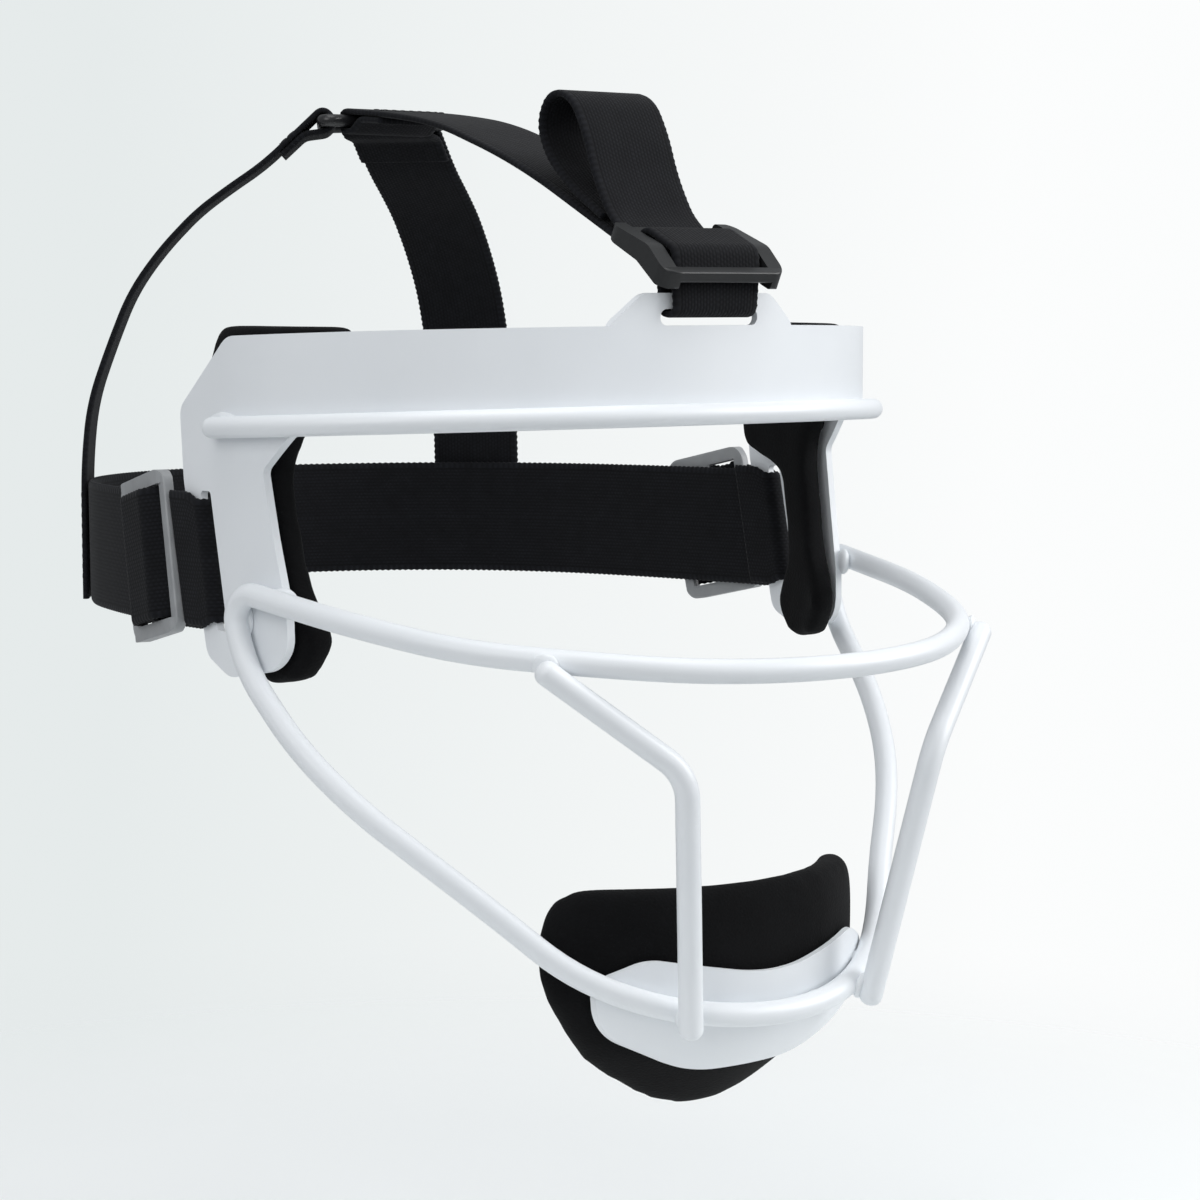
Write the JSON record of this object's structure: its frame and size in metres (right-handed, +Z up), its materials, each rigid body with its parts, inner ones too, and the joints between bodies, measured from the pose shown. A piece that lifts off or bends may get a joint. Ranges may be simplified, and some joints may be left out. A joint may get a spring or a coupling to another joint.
{
  "type": "fielder's face guard",
  "caption": "Open wire face guard with a padded steel brow band, a dished chin cup and adjustable elastic head straps.",
  "frame": {"origin": "centre of the brow pad's inner face, where it rests on the forehead", "axes": "+Z up as worn, -Y where the wearer looks, +X to the wearer's left"},
  "size_m": [0.1808, 0.2487, 0.2292],
  "materials": {
    "painted_steel": "cool white satin powder coat",
    "pad_foam": "closed-cell foam with a soft knitted face",
    "hook_tape": "dense hook pile",
    "webbing": "fine woven elastic",
    "black_plastic": "satin moulded plastic",
    "grey_plastic": "satin moulded plastic, faintly granular",
    "ring_steel": "black satin coated wire"
  },
  "bodies": {
    "guard": {"brow_band": "painted_steel", "brow_rim_wire": "painted_steel", "upper_bar": "painted_steel", "lower_bar": "painted_steel", "chin_plate": "painted_steel", "left_upright": "painted_steel", "right_upright": "painted_steel", "chin_hook_tape": "hook_tape", "brow_hook_tape": "hook_tape", "left_temple_hook_tape": "hook_tape", "right_temple_hook_tape": "hook_tape", "tab_slot_webbing": "webbing", "top_strap": "webbing", "rear_strap": "webbing", "left_rear_strand": "webbing", "right_rear_strand": "webbing", "left_side_slot_webbing": "webbing", "right_side_slot_webbing": "webbing", "crown_ring": "ring_steel"},
    "top_slider_unit": {"top_slider": "black_plastic", "top_slider_webbing": "webbing", "top_strap_sewn_end": "webbing", "top_strap_slack": "webbing"},
    "left_slider_unit": {"left_side_slider": "grey_plastic", "left_side_slider_webbing": "webbing", "left_side_strap_sewn_end": "webbing"},
    "right_slider_unit": {"right_side_slider": "grey_plastic", "right_side_slider_webbing": "webbing", "right_side_strap_sewn_end": "webbing"},
    "chin_pad_unit": {"chin_pad": "pad_foam"},
    "brow_pad_unit": {"brow_pad": "pad_foam"},
    "left_temple_pad_unit": {"left_temple_pad": "pad_foam"},
    "right_temple_pad_unit": {"right_temple_pad": "pad_foam"}
  },
  "joints": [
    {"name": "top_slider_shift", "type": "slide", "parent": "guard", "child": "top_slider_unit", "axis": [0, 0.9026, 0.4305], "range_m": [0, 0.02]},
    {"name": "left_slider_shift", "type": "slide", "parent": "guard", "child": "left_slider_unit", "axis": [-0.1307, 0.9914, 0], "range_m": [0, 0.016]},
    {"name": "right_slider_shift", "type": "slide", "parent": "guard", "child": "right_slider_unit", "axis": [0.1307, 0.9914, 0], "range_m": [0, 0.016]},
    {"name": "chin_pad_lift_off", "type": "slide", "parent": "guard", "child": "chin_pad_unit", "axis": [0, 1, 0], "range_m": [0, 0.02]},
    {"name": "brow_pad_lift_off", "type": "slide", "parent": "guard", "child": "brow_pad_unit", "axis": [0, 1, 0], "range_m": [0, 0.012]},
    {"name": "left_temple_pad_lift_off", "type": "slide", "parent": "guard", "child": "left_temple_pad_unit", "axis": [-1, 0, 0], "range_m": [0, 0.008]},
    {"name": "right_temple_pad_lift_off", "type": "slide", "parent": "guard", "child": "right_temple_pad_unit", "axis": [1, 0, 0], "range_m": [0, 0.008]}
  ]
}
